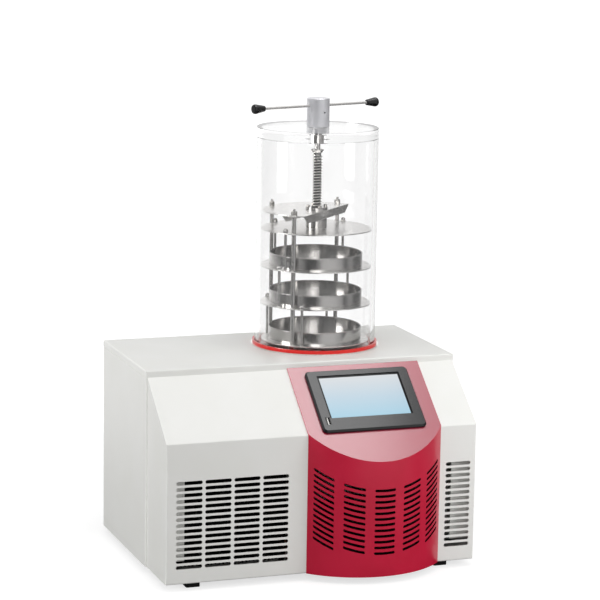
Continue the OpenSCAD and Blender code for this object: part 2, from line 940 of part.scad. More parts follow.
module chamber_top() {
    color("azure", 0.3) on_drum() difference() {
        union() {
            translate([0, 0, plate_z]) cylinder(d = drum_d, h = drum_top_t);
            translate([0, 0, plate_z - boss_drop])
                cylinder(d = boss_d, h = boss_drop + eps);
        }
        bush_shape(run_play);
        translate([0, 0, plate_z - boss_drop - eps]) cylinder(d = bush_d, h = 2 * eps);
        translate([0, 0, top_z - eps]) cylinder(d = sleeve_d, h = 2 * eps);
    }
}

module shaft_bush() {
    color("darkgray") on_drum() difference() {
        bush_shape(0);
        translate([0, 0, plate_z - boss_drop - eps])
            cylinder(r = shaft_d / 2 + run_play, h = drum_top_t + boss_drop + 2 * eps);
    }
}

// ---- Handle ----

module on_hub() {
    on_drum() translate([0, 0, top_z + play]) rotate([0, 0, bar_turn]) children();
}

module handle_hub() {
    r = hub_d / 2;
    c = 1;
    color("silver") on_hub() difference() {
        rotate_extrude() polygon([
            [0, 0], [r - c, 0], [r, c], [r, hub_groove], [r - c / 2, hub_groove],
            [r - c / 2, hub_groove + c], [r, hub_groove + c], [r, hub_h - c],
            [r - c, hub_h], [0, hub_h]
        ]);
        translate([0, 0, -eps]) cylinder(r = shaft_d / 2 + run_play, h = hub_bore + eps);
        translate([0, 0, bar_z]) rotate([0, 90, 0])
            cylinder(r = bar_d / 2 + run_play, h = 2 * hub_d, center = true);
        rotate([0, 0, grub_turn]) translate([r / 2, 0, grub_z])
            rotate([0, 90, 0]) cylinder(d = grub_d, h = r);
    }
}

module handle_bar() {
    color("silver") on_hub() translate([bar_shift, 0, bar_z]) rotate([0, 90, 0])
        cylinder(d = bar_d, h = bar_l, center = true);
}

module handle_knobs() {
    r = knob_d / 2;
    neck = knob_neck_d / 2;
    c = 3;
    color("black") on_hub() translate([bar_shift, 0, bar_z])
        for (s = [0, 180]) rotate([0, 0, s])
            translate([bar_l / 2 - knob_l * 2 / 3, 0, 0]) rotate([0, 90, 0])
                difference() {
                    rotate_extrude() polygon([
                        [0, 0], [neck - 1, 0], [neck, 1], [r, knob_l - 2 * c],
                        [r, knob_l - c], [r - c * 0.3, knob_l - c * 0.3],
                        [r - c, knob_l], [0, knob_l]
                    ]);
                    translate([0, 0, -eps])
                        cylinder(r = bar_d / 2 + run_play, h = knob_l * 2 / 3 + eps);
                }
}

module hexagon(af, h) {
    cylinder(d = af / cos(30), h = h, $fn = 6);
}

module drive_shaft() {
    color("silver") on_drum() rotate([0, 0, bar_turn]) {
        translate([0, 0, screw_top + 1])
            cylinder(d = shaft_d, h = top_z + play + hub_bore - screw_top - 1);
        translate([0, 0, shaft_bottom]) hexagon(hex_af, screw_top + 2 - shaft_bottom);
    }
}

// ---- Press screw ----

module press_screw() {
    r = screw_d / 2;
    turns = floor((screw_top - screw_bottom) / screw_pitch);
    grooves = [
        for (i = [0 : turns - 1], k = [0 : 3])
            [k == 1 || k == 2 ? r - screw_groove : r,
             screw_bottom + screw_pitch * (i + 0.15 + [0, 0.15, 0.5, 0.65][k])]
    ];
    color("gray") on_drum() rotate([0, 0, bar_turn]) difference() {
        rotate_extrude() polygon(concat(
            [[0, screw_bottom - tip_l], [tip_d / 2 - 1, screw_bottom - tip_l],
             [tip_d / 2, screw_bottom - tip_l + 1], [tip_d / 2, screw_bottom],
             [r, screw_bottom]],
            grooves,
            [[r, screw_top], [0, screw_top]]
        ));
        translate([0, 0, shaft_bottom - 2])
            hexagon(hex_af + 2 * hex_play, screw_top - shaft_bottom + 2 + eps);
    }
}

module guide_cup() {
    r = screw_d / 2;
    hole = shaft_d / 2 + play;
    color("silver") on_drum() rotate_extrude() polygon([
        [hole, screw_top], [r, screw_top], [cup_d / 2, screw_top + cup_h - 1],
        [cup_d / 2, screw_top + cup_h], [cup_d / 2 - 1, screw_top + cup_h],
        [hole + 0.5, screw_top + cup_floor], [hole, screw_top + cup_floor]
    ]);
}

module nut_bolts(d, z, h) {
    for (a = [45 : 90 : 315]) rotate([0, 0, a])
        translate([nut_bolt_r, 0, z]) cylinder(d = d, h = h);
}

module screw_nut() {
    color("silver") on_rack(nut_z) difference() {
        union() {
            cylinder(d = nut_flange_d, h = nut_flange_t);
            translate([0, 0, -bridge_t - nut_barrel_l])
                cylinder(d = nut_barrel_d, h = bridge_t + nut_barrel_l + eps);
        }
        translate([0, 0, -bridge_t - nut_barrel_l - eps])
            cylinder(r = screw_d / 2 + run_play, h = 2 * nut_barrel_l + 3 * nut_flange_t);
        nut_bolts(nut_bolt_d + 2 * play, -eps, nut_flange_t + 2 * eps);
    }
}

module nut_screws() {
    color("silver") on_rack(nut_z) {
        nut_bolts(nut_bolt_d, -bridge_t, bridge_t + nut_flange_t + 1);
        difference() {
            nut_bolts(nut_bolt_d * 1.7, nut_flange_t, nut_bolt_d);
            for (a = [45 : 90 : 315]) rotate([0, 0, a])
                translate([nut_bolt_r, 0, nut_flange_t + nut_bolt_d / 2])
                    hexagon(nut_bolt_d * 0.8, nut_bolt_d);
        }
    }
}

// ---- Rack ----

module at_posts(angles, r) {
    for (a = angles) rotate([0, 0, a]) translate([r, 0, 0]) children();
}

module bridge_flange_plate() {
    half = sqrt(pow(bridge_d / 2, 2) - pow(bridge_half, 2)) - play;
    translate([bridge_half - bridge_t, 0, 0]) rotate([90, 0, 90])
        linear_extrude(bridge_t) polygon([
            [-half, bridge_t], [-half, 0],
            [-half + bridge_bevel, -bridge_flange],
            [half - bridge_bevel, -bridge_flange], [half, 0], [half, bridge_t]
        ]);
}

module bridge() {
    color("silver") on_rack(bridge_z) difference() {
        union() {
            linear_extrude(bridge_t) intersection() {
                circle(d = bridge_d);
                translate([-bridge_d, -bridge_d])
                    square([bridge_d + bridge_half, 2 * bridge_d]);
            }
            bridge_flange_plate();
            mirror([1, 0, 0]) bridge_flange_plate();
        }
        translate([0, 0, -eps])
            cylinder(d = nut_barrel_d + 2 * play, h = bridge_t + 2 * eps);
        nut_bolts(nut_bolt_d + 2 * play, -eps, bridge_t + 2 * eps);
        at_posts(post_angles, post_r) translate([0, 0, -eps])
            cylinder(d = stud_d + 2 * play, h = bridge_t + 2 * eps);
    }
}

module guide_posts() {
    stud = nut_h + stud_tip;
    color("silver") on_rack(0) at_posts(post_angles, post_r) {
        translate([0, 0, base_z]) cylinder(d = post_d, h = bridge_z - base_z);
        translate([0, 0, seat_z + 2])
            cylinder(d = stud_d, h = nut_z + stud - seat_z - 2);
    }
}

module post_nuts() {
    color("silver") on_rack(nut_z) at_posts(post_angles, post_r) difference() {
        union() {
            hexagon(nut_af, nut_h - nut_edge);
            cylinder(d = nut_af, h = nut_h);
        }
        translate([0, 0, -eps])
            cylinder(r = stud_d / 2 + run_play, h = nut_h + 2 * eps);
    }
}

// A shelf with sliding holes for the posts and for the hangers given
module shelf(z, angles) {
    color("silver") on_rack(z - shelf_t) difference() {
        cylinder(d = shelf_d, h = shelf_t);
        at_posts(post_angles, post_r) translate([0, 0, -eps])
            cylinder(d = post_d + 2 * slide_play, h = shelf_t + 2 * eps);
        at_posts(angles, hanger_r) translate([0, 0, -eps])
            cylinder(d = hanger_d + 2 * play, h = shelf_t + 2 * eps);
    }
}

module top_shelf() {
    shelf(top_shelf_z, upper_hanger_angles);
}

module middle_shelf() {
    shelf(top_shelf_z - shelf_pitch, middle_hanger_angles);
}

module lower_shelf() {
    shelf(top_shelf_z - 2 * shelf_pitch, lower_hanger_angles);
}

module base_shelf() {
    color("silver") on_rack(base_z - shelf_t) difference() {
        cylinder(d = shelf_d - 2 * base_inset, h = shelf_t);
        at_posts(post_angles, post_r) translate([0, 0, -eps])
            cylinder(d = stud_d + 2 * play, h = shelf_t + 2 * eps);
    }
}

module rack_feet() {
    color("silver") on_rack(seat_z) at_posts(post_angles, post_r) difference() {
        cylinder(d = rack_foot_d, h = base_z - shelf_t - seat_z);
        translate([0, 0, -eps])
            cylinder(r = stud_d / 2 + run_play, h = base_z - seat_z + 2 * eps);
    }
}

// Headed rods that stand on one shelf and carry it from the shelf above
module hangers(z, angles) {
    color("silver") on_rack(z) at_posts(angles, hanger_r) {
        cylinder(d = hanger_d, h = shelf_pitch + play + 1);
        translate([0, 0, shelf_pitch + play]) {
            cylinder(d = hanger_head, h = 3);
            translate([0, 0, 3]) intersection() {
                sphere(d = hanger_head);
                cylinder(d = hanger_head, h = hanger_head);
            }
        }
    }
}

module upper_hangers() {
    hangers(top_shelf_z - shelf_pitch, upper_hanger_angles);
}

module middle_hangers() {
    hangers(top_shelf_z - 2 * shelf_pitch, middle_hanger_angles);
}

module lower_hangers() {
    hangers(base_z, lower_hanger_angles);
}

module press_foot() {
    color("dimgray") on_rack(top_shelf_z) difference() {
        cylinder(d = press_foot_d, h = press_foot_h);
        translate([0, 0, press_foot_h - tip_l])
            cylinder(r = tip_d / 2 + run_play, h = tip_l + eps);
    }
}

module tray(level) {
    r = (tray_d - tray_bead) / 2;
    w = tray_wall / 2;
    color("silver") on_rack(base_z + level * shelf_pitch) rotate_extrude() {
        difference() {
            square([r + w, tray_h - tray_bead / 2]);
            translate([-eps, tray_wall])
                square([r - w + eps, tray_h]);
        }
        translate([r, tray_h - tray_bead / 2]) circle(d = tray_bead, $fn = 24);
    }
}

module upper_tray() {
    tray(2);
}

module middle_tray() {
    tray(1);
}

module lower_tray() {
    tray(0);
}

// ---- Refrigeration ----

// Tube along a line of points, with a soldered elbow at each inner one
module pipe(points, d) {
    last = len(points) - 1;
    runs = [for (i = [0 : last - 1]) points[i + 1] - points[i]];
    ways = [for (v = runs) v / norm(v)];
    for (i = [0 : last - 1]) {
        near = i == 0 ? 0 : elbow_r - elbow_lap;
        far = i == last - 1 ? 0 : elbow_r - elbow_lap;
        translate(points[i] + near * ways[i])
            rotate([0, acos(ways[i].z), atan2(ways[i].y, ways[i].x)])
                cylinder(d = d, h = norm(runs[i]) - near - far, $fn = 24);
    }
    for (i = [1 : 1 : last - 1]) {
        u = ways[i - 1];
        w = ways[i];
        n = cross(u, w);
        c = points[i] + elbow_r * (w - u);
        multmatrix([
            [-w.x, u.x, n.x, c.x],
            [-w.y, u.y, n.y, c.y],
            [-w.z, u.z, n.z, c.z],
            [0, 0, 0, 1]
        ])
            rotate_extrude(angle = 90, $fn = 48)
                translate([elbow_r, 0]) circle(d = d + 2 * elbow_wall, $fn = 24);
    }
}

module compressor() {
    r = comp_d / 2;
    color("black") in_cabinet() translate([-comp_x, comp_y, comp_z]) {
        difference() {
            translate([-r - comp_ear, -comp_base_l / 2, 0])
                cube([2 * (r + comp_ear), comp_base_l, base_t]);
            for (x = [-1, 1], y = [-1, 1])
                translate([x * r, y * grommet_y, -eps])
                    cylinder(d = grommet_d / 2, h = base_t + 2 * eps);
        }
        rotate_extrude() {
            translate([0, base_t]) square([r - dome_r, comp_h]);
            translate([0, base_t]) square([r, comp_h - dome_r]);
            translate([r - dome_r, base_t + comp_h - dome_r])
                circle(r = dome_r, $fn = 64);
            translate([0, comp_seam]) square([r + seam_w, seam_h]);
        }
        translate([0, -suction_off, suction_z - comp_z]) rotate([0, 90, 0])
            cylinder(d = pipe_d, h = r + stub_l);
        translate([-discharge_off, 0, discharge_z - comp_z]) rotate([90, 0, 0])
            cylinder(d = pipe_d, h = r + stub_l);
    }
}

module compressor_grommets() {
    color("dimgray") in_cabinet() translate([-comp_x, comp_y, floor_z])
        for (x = [-1, 1], y = [-1, 1])
            translate([x * comp_d / 2, y * grommet_y, 0]) {
                cylinder(d = grommet_d, h = comp_z - floor_z);
                cylinder(d = grommet_d / 2 - 2 * play, h = comp_z + base_t - floor_z);
            }
}

module condenser() {
    n = floor(cond_w / fin_pitch);
    pitch_z = cond_h / cond_rows;
    color("darkslategray") in_cabinet() translate([cond_x, cond_set, 0]) {
        for (i = [1 : n - 1])
            translate([i * cond_w / n - cond_w / 2 - fin_t / 2, 0, cond_z])
                cube([fin_t, cond_t, cond_h]);
        for (s = [-1, 1])
            translate([s * cond_w / 2 - sheet / 2, 0, floor_z])
                cube([sheet, cond_t, cond_z + cond_h - floor_z]);
        for (i = [0 : cond_rows - 1])
            translate([-cond_w / 2 - cond_bend, cond_t / 2, cond_z + (i + 0.5) * pitch_z])
                rotate([0, 90, 0])
                    cylinder(d = pipe_d, h = cond_w + cond_bend + cond_stub, $fn = 24);
    }
}

// Frame on the fan's axis, Z backwards, origin on the condenser's back face
module on_fan() {
    in_cabinet() translate([cond_x, cond_set + cond_t, cond_z + cond_h / 2])
        rotate([-90, 0, 0]) children();
}

module fan_shroud() {
    r = fan_d / 2 + fan_gap;
    color("black") on_fan() {
        difference() {
            union() {
                translate([-cond_w / 2, -cond_h / 2, 0]) cube([cond_w, cond_h, sheet]);
                cylinder(r = r + sheet, h = fan_ring);
            }
            translate([0, 0, -eps]) cylinder(r = r, h = fan_ring + 2 * eps);
        }
        translate([0, 0, fan_ring]) difference() {
            union() {
                for (a = [45, 135]) rotate([0, 0, a])
                    translate([-r - sheet, -arm_w / 2, 0])
                        cube([2 * (r + sheet), arm_w, arm_t]);
                cylinder(d = motor_d + 2 * clamp_wall, h = clamp_h);
            }
            translate([0, 0, -eps])
                cylinder(d = motor_d + 2 * run_play, h = clamp_h + 2 * eps);
        }
    }
}

module fan_motor() {
    color("gray") on_fan() {
        translate([0, 0, fan_ring]) cylinder(d = motor_d, h = motor_l);
        translate([0, 0, fan_hub_z]) cylinder(d = motor_shaft_d, h = fan_ring - fan_hub_z + 1);
    }
}

module fan_rotor() {
    color("black") on_fan() translate([0, 0, fan_hub_z]) difference() {
        union() {
            cylinder(d = fan_hub_d, h = fan_hub_l);
            intersection() {
                cylinder(d = fan_d, h = fan_hub_l);
                for (i = [0 : fan_blades - 1]) rotate([0, 0, i * 360 / fan_blades])
                    translate([0, 0, fan_hub_l / 2]) rotate([fan_pitch_a, 0, 0])
                        translate([fan_hub_d * 0.4, -blade_w / 2, -blade_t / 2])
                            cube([fan_d, blade_w, blade_t]);
            }
        }
        translate([0, 0, -eps])
            cylinder(r = motor_shaft_d / 2 + run_play, h = fan_hub_l + 2 * eps);
    }
}

module filter_drier() {
    c = drier_d / 2;
    color("peru") in_cabinet() translate([drier_x, drier_y, drier_z]) {
        cylinder(d1 = pipe_d + 2, d2 = drier_d, h = c);
        translate([0, 0, c]) cylinder(d = drier_d, h = drier_l - 2 * c);
        translate([0, 0, drier_l - c]) cylinder(d1 = drier_d, d2 = pipe_d + 2, h = c);
    }
}

// Discharge, liquid, capillary and suction lines, the drain and the vent line
module pipework() {
    row = cond_h / cond_rows;
    x_out = cond_x + cond_w / 2 + cond_stub;
    y_out = cond_set + cond_t / 2;
    z_in = cond_z + (cond_rows - 0.5) * row;
    z_out = cond_z + 0.5 * row;
    high = comp_z + base_t + comp_h + pipe_gap;
    x_dis = -comp_x - discharge_off;
    y_dis = comp_y - comp_d / 2 - stub_l;
    y_up = y_dis - 2 * pipe_gap;
    x_suc = -comp_x + comp_d / 2 + stub_l;
    y_suc = comp_y - suction_off;
    tail_z = body_h - trap_depth + coil_d - coil_tail;
    drain_top = body_h - trap_depth - drain_stub;
    feed_z = tail_z - elbow_r - pipe_gap / 3;
    color("peru") in_cabinet() {
        pipe([[x_dis, y_dis - play, discharge_z], [x_dis, y_up, discharge_z],
              [x_dis, y_up, high], [drier_x, y_up, high], [drier_x, y_out, high],
              [drier_x, y_out, z_in], [x_out + play, y_out, z_in]], pipe_d);
        pipe([[x_out + play, y_out, z_out], [drier_x, y_out, z_out],
              [drier_x, drier_y, z_out], [drier_x, drier_y, drier_z - play]], pipe_d);
        pipe([[drier_x, drier_y, drier_z + drier_l + play],
              [drier_x, drier_y, feed_z], [drum_x, drier_y, feed_z],
              [drum_x, drier_y, tail_z - play]], pipe_d);
        pipe([[drum_x - coil_r, drum_y, tail_z - play],
              [drum_x - coil_r, drum_y, suction_z], [drum_x - coil_r, y_suc, suction_z],
              [x_suc + play, y_suc, suction_z]], pipe_d);
        pipe([[drum_x, drum_y, drain_top - play], [drum_x, drum_y, drain_z],
              [drum_x, body_d - valve_in - play, drain_z]], drain_d);
        pipe([[vent_x - valve_d / 2 - play, body_d - valve_in / 2, port_z],
              [drum_x + port_pipe_d / 2 + play, body_d - valve_in / 2, port_z]], pipe_d);
    }
}

module control_box() {
    x = body_w / 2 - flange_w - box_gap - box_w;
    color("lightgray") in_cabinet() translate([x, box_y, floor_z]) {
        cube([box_w, box_l, box_h - box_cap]);
        translate([-1, -1, box_h - box_cap]) cube([box_w + 2, box_l + 2, box_cap]);
    }
}

// ---- Fittings on the back panel ----

module on_back(x, z) {
    in_cabinet() translate([x, body_d, z]) children();
}

module drain_valve() {
    color("silver") on_back(drum_x, drain_z) {
        rotate([90, 0, 0]) translate([0, 0, -ball_y]) cylinder(d = valve_d, h = ball_y + valve_in);
        rotate([-90, 0, 0]) cylinder(d = valve_nut_d, h = valve_nut_t, $fn = 6);
        translate([0, ball_y, 0]) {
            cylinder(d = ball_d, h = 2 * stem_z, center = true);
            translate([0, 0, stem_z - eps]) cylinder(d = stem_d, h = lever_t + 2 + eps);
            translate([0, 0, -stem_z - spout_l]) difference() {
                cylinder(d = spout_d, h = spout_l + eps);
                translate([0, 0, -eps])
                    cylinder(d = spout_d - 2 * spout_wall, h = spout_l + eps);
            }
        }
    }
}

module drain_lever() {
    color("firebrick") on_back(drum_x, drain_z)
        translate([0, ball_y, stem_z + play]) difference() {
            union() {
                cylinder(d = lever_eye, h = lever_t);
                translate([0, -lever_w / 2, 0]) cube([lever_l, lever_w, lever_t]);
                translate([lever_l, 0, 0]) cylinder(d = lever_w, h = lever_t);
            }
            translate([0, 0, -eps]) cylinder(r = stem_d / 2 + run_play, h = lever_t + 2 * eps);
        }
}

module vent_valve() {
    color("silver") on_back(vent_x, port_z) rotate([90, 0, 0]) difference() {
        union() {
            translate([0, 0, -vent_out]) cylinder(d = valve_d, h = vent_out + valve_in);
            translate([0, 0, -valve_nut_t])
                cylinder(d = valve_nut_d, h = valve_nut_t, $fn = 6);
            translate([0, 0, -vent_stem]) cylinder(d = stem_d, h = vent_stem);
        }
        translate([0, -valve_d, -(vent_out + valve_nut_t) / 2]) rotate([-90, 0, 0])
            cylinder(d = vent_hole, h = valve_d);
    }
}

module vent_knob() {
    color("black") on_back(vent_x, port_z) translate([0, vent_out + play, 0])
        rotate([-90, 0, 0]) difference() {
            cylinder(d = vent_knob_d, h = vent_knob_l);
            translate([0, 0, -eps])
                cylinder(r = stem_d / 2 + run_play, h = vent_stem - vent_out + 2 * eps);
            for (a = [0 : 30 : 330]) rotate([0, 0, a])
                translate([vent_knob_d / 2 + 1, 0, 3]) cylinder(d = 4, h = vent_knob_l);
        }
}

// Flanged body of a panel mounted power fitting
module power_body(recess_w, recess_h, recess_l) {
    difference() {
        union() {
            translate([-socket_w / 2 - socket_ear, 0, -socket_h / 2 - socket_rim])
                cube([socket_w + 2 * socket_ear, socket_t, socket_h + 2 * socket_rim]);
            translate([-socket_w / 2, -socket_l, -socket_h / 2])
                cube([socket_w, socket_l + eps, socket_h]);
        }
        translate([-recess_w / 2, socket_t - recess_l, -recess_h / 2])
            cube([recess_w, recess_l + eps, recess_h]);
    }
}

module power_inlet() {
    color("black") on_back(socket_x, socket_z[0]) {
        power_body(socket_w - 2 * recess_rim, socket_h - 2 * recess_rim, recess_l);
        for (p = [[-7, -2], [7, -2], [0, 3]])
            translate([p.x - pin_w / 2, socket_t - recess_l - eps, p.y - pin_h / 2])
                cube([pin_w, recess_l - 2 * eps, pin_h]);
    }
}

module pump_outlet() {
    color("black") on_back(socket_x, socket_z[2]) difference() {
        union() {
            power_body(socket_w - 2 * recess_rim, socket_h - 2 * recess_rim, recess_l);
            translate([core_gap - socket_w / 2, socket_t - recess_l - eps,
                       core_gap - socket_h / 2])
                cube([socket_w - 2 * core_gap, recess_l, socket_h - 2 * core_gap]);
        }
        for (p = [[-6, -1], [6, -1], [0, 2]])
            translate([p.x - pin_w / 2, socket_t - recess_l + eps, p.y - pin_h / 2])
                cube([pin_w, recess_l, pin_h]);
    }
}

module power_switch() {
    color("black") on_back(socket_x, socket_z[1])
        power_body(rocker_w + 2 * play, rocker_l + 2 * play, rocker_recess);
}

module power_rocker() {
    half = rocker_l / 2 - 0.4;
    root = half - 2;
    color("black") on_back(socket_x, socket_z[1]) rotate([rocker_tilt, 0, 0])
        across(rocker_w) polygon([
            [-rocker_in, -root], [socket_t - 1.5, -half], [socket_t, -half],
            [socket_t - 0.6, 0], [socket_t, half], [socket_t - 1.5, half],
            [-rocker_in, root]
        ]);
}

module vacuum_port() {
    r = port_pipe_d / 2;
    rim = port_flange_d / 2;
    inner = body_d - drum_y - trap_d / 2 + 0.5;
    color("silver") on_back(drum_x, port_z) translate([0, port_l, 0])
        rotate([90, 0, 0]) rotate_extrude() polygon([
            [port_recess_d / 2, 0], [rim, 0], [rim, port_flange_t],
            [r, port_flange_t + (rim - r) * tan(port_taper)], [r, port_l + inner],
            [port_bore_d / 2, port_l + inner], [port_bore_d / 2, port_recess_l],
            [port_recess_d / 2, port_recess_l]
        ]);
}

chassis();
front_cover();
fascia();
side_panel_left();
side_panel_right();
back_panel();
top_lid();
feet();
display_bezel();
display_glass();
display_housing();
usb_socket();
trap_well();
trap_coil();
trap_foam();
chamber_gasket();
compressor();
compressor_grommets();
condenser();
fan_shroud();
fan_motor();
fan_rotor();
filter_drier();
pipework();
control_box();
drain_valve();
drain_lever();
vent_valve();
vent_knob();
power_inlet();
power_switch();
power_rocker();
pump_outlet();
vacuum_port();
chamber_tube();
chamber_top();
shaft_bush();
handle_hub();
handle_bar();
handle_knobs();
drive_shaft();
press_screw();
guide_cup();
screw_nut();
nut_screws();
bridge();
guide_posts();
post_nuts();
press_foot();
top_shelf();
middle_shelf();
lower_shelf();
base_shelf();
rack_feet();
upper_hangers();
middle_hangers();
lower_hangers();
upper_tray();
middle_tray();
lower_tray();
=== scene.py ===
import json
import math

import bmesh
import bpy
from mathutils import Matrix, Vector


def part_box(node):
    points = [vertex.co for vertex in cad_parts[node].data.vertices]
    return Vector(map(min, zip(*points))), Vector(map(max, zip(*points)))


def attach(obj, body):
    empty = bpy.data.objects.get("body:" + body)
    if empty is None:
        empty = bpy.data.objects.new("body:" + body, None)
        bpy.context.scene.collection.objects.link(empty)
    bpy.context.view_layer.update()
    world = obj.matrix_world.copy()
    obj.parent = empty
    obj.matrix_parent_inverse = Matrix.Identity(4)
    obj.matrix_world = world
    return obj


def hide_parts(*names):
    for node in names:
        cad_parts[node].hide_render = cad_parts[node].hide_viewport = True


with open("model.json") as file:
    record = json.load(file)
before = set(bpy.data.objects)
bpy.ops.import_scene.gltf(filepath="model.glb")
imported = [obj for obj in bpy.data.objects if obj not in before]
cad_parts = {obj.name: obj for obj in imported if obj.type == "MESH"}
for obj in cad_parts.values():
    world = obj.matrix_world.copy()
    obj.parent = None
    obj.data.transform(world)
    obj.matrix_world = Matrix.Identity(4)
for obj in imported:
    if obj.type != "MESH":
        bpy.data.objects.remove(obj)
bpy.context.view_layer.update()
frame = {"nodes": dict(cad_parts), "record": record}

# Benchtop freeze dryer: finishes of the sheet metal cabinet, the touch panel,
# the clear drying chamber and the stoppering rack. Metres, +Z up, front -Y.

NODES = frame["nodes"]
MM = 0.001
WHITE = (1, 1, 1, 1)


def centre_of(name):
    low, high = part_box(name)
    return (Vector(low) + Vector(high)) / 2


AXIS = centre_of("chamber_tube")


def linear(code):
    """sRGB hex colour as the linear values that shaders take, opaque."""
    parts = [int(code[i:i + 2], 16) / 255 for i in (1, 3, 5)]
    return tuple(c / 12.92 if c <= 0.04045 else ((c + 0.055) / 1.055) ** 2.4 for c in parts) + (1.0,)


def add(tree, kind, inputs=(), **settings):
    """Adds a shader node with its own settings. Inputs go by order, name or number, and each is a value,
    a hex colour, a socket, or a node, which stands for its first output."""
    node = tree.nodes.new(kind)
    for key, value in settings.items():
        setattr(node, key, value)
    for key, value in inputs.items() if isinstance(inputs, dict) else enumerate(inputs):
        if isinstance(value, bpy.types.Node):
            value = value.outputs[0]
        if isinstance(value, bpy.types.NodeSocket):
            tree.links.new(value, node.inputs[key])
        else:
            node.inputs[key].default_value = linear(value) if isinstance(value, str) else value
    return node


def empty_tree(owner):
    """Node tree of a material or a world, cleared."""
    owner.use_nodes = True
    owner.node_tree.nodes.clear()
    return owner.node_tree


def start(name):
    """A material, its empty node tree and its Object coordinates."""
    material = bpy.data.materials.new(name)
    tree = empty_tree(material)
    return material, tree, add(tree, "ShaderNodeTexCoord").outputs["Object"]


# ---- Camera, lamps and floor ----

# Degrees: turned to the right, tipped down, rolled
CAMERA_TURN = (19.70, 10.33, -0.90)
CAMERA_PLACE = (-1.4621, -4.1381, 1.2806)
CAMERA_LENS, SENSOR_WIDTH, FAR_CLIP = 143.9, 36, 200
LAMPS = (
    # name, place, target, width, height, radiance
    ("overhead_box", (0.31, -0.25, 2.60), (0.31, -0.18, 0.35), 1.50, 1.0, 3.7),
    ("overhead_left", (-1.10, -0.30, 2.40), (-0.10, -0.05, 0.35), 1.2, 1.6, 0.8),
    ("right_kicker", (1.05, -0.95, 0.55), (0.26, -0.20, 0.20), 0.5, 0.7, 6.0),
    ("front_box", (-1.20, -3.60, 1.90), (0.00, -0.20, 0.30), 1.6, 1.4, 3.9),
    ("front_low", (-0.60, -3.40, 0.75), (0.00, -0.20, 0.20), 1.6, 0.9, 1.8),
    ("left_side", (-3.20, 0.20, 0.90), (-0.30, 0.00, 0.20), 1.4, 1.4, 7.3),
)
# Strength of the room as a light
AMBIENT = 0.32
# What polished metal mirrors, by direction round the object: share of a turn from
# the front (0) over the left (0.25), the back (0.5) and the right (0.75), and grey
GLOSS_ROUND = (
    (0.00, 0.75), (0.03, 0.30), (0.05, 0.04), (0.11, 0.05), (0.14, 0.30),
    (0.19, 0.42), (0.24, 0.25), (0.30, 0.10), (0.38, 0.60), (0.45, 1.15),
    (0.55, 1.15), (0.62, 0.60), (0.68, 0.08), (0.74, 0.12), (0.79, 0.45),
    (0.84, 0.10), (0.87, 0.55), (0.93, 0.80), (1.00, 0.75),
)
# Upward it turns to this grey, between these heights of the direction
CEILING_RISE, CEILING_GREY = (0.30, 0.65), 0.9
# A mirrored ray still counts as a straight view until it has crossed more glass surfaces than this
GLASS_CROSSED = 2.5
# Paper: half its width in metres, its tone, its own glow and where the glow rises, by distance
PAPER_HALF, PAPER_TONE = 60, "#B4B4B4"
PAPER_GLOW, PAPER_FADE = (0.68, 1.0), (0.55, 1.6)
# Distances over which the paper in a mirror goes from black to GLOSS_ROUND
PAPER_MIRROR = (0.6, 1.6)


def make_camera():
    yaw, pitch, roll = (math.radians(a) for a in CAMERA_TURN)
    forward = Vector((math.sin(yaw) * math.cos(pitch), math.cos(yaw) * math.cos(pitch), -math.sin(pitch)))
    level = Vector((math.cos(yaw), -math.sin(yaw), 0))
    down = forward.cross(level)
    right = math.cos(roll) * level + math.sin(roll) * down
    up = math.sin(roll) * level - math.cos(roll) * down
    data = bpy.data.cameras.new("studio_camera")
    data.lens = CAMERA_LENS
    data.sensor_width = SENSOR_WIDTH
    data.clip_end = FAR_CLIP
    camera = bpy.data.objects.new("studio_camera", data)
    turn = Matrix((right, up, -forward)).transposed().to_4x4()
    camera.matrix_world = Matrix.Translation(CAMERA_PLACE) @ turn
    bpy.context.scene.collection.objects.link(camera)
    bpy.context.scene.camera = camera


def area_lamp(name, place, target, width, height, radiance):
    """Soft box that faces the target; radiance is its own brightness, 1 being white."""
    data = bpy.data.lights.new(name, "AREA")
    data.shape = "RECTANGLE"
    data.size = width
    data.size_y = height
    data.energy = radiance * math.pi * width * height
    lamp = bpy.data.objects.new(name, data)
    lamp.location = place
    lamp.rotation_euler = (Vector(target) - Vector(place)).to_track_quat("-Z", "Y").to_euler()
    # Gloss shows the box overhead alone, and the kicker isn't seen through the glass
    lamp.visible_glossy = name == "overhead_box"
    lamp.visible_transmission = name != "right_kicker"
    bpy.context.scene.collection.objects.link(lamp)


def straight_view(tree, path):
    """1 for what the eye sees, also through one glass wall and its edges, and 0 for what metal mirrors."""
    bounced = add(tree, "ShaderNodeMath", (path["Glossy Depth"], 0.5), operation="GREATER_THAN")
    walls = add(tree, "ShaderNodeMath", (path["Transmission Depth"], GLASS_CROSSED), operation="GREATER_THAN")
    mirrored = add(tree, "ShaderNodeMath", (bounced, walls), operation="MULTIPLY")
    direct = add(tree, "ShaderNodeMath", (1.0, mirrored), operation="SUBTRACT")
    through = add(tree, "ShaderNodeMath", (path["Is Transmission Ray"], direct), operation="MULTIPLY")
    return add(tree, "ShaderNodeMath", (path["Is Camera Ray"], through), operation="MAXIMUM")


def mirrored_view(tree, path):
    """1 for what gloss mirrors, also from inside the glass, and 0 otherwise."""
    ray = add(tree, "ShaderNodeMath", (path["Is Glossy Ray"], path["Is Transmission Ray"]),
              operation="MAXIMUM")
    return add(tree, "ShaderNodeMath", (ray, 0.5), operation="GREATER_THAN")


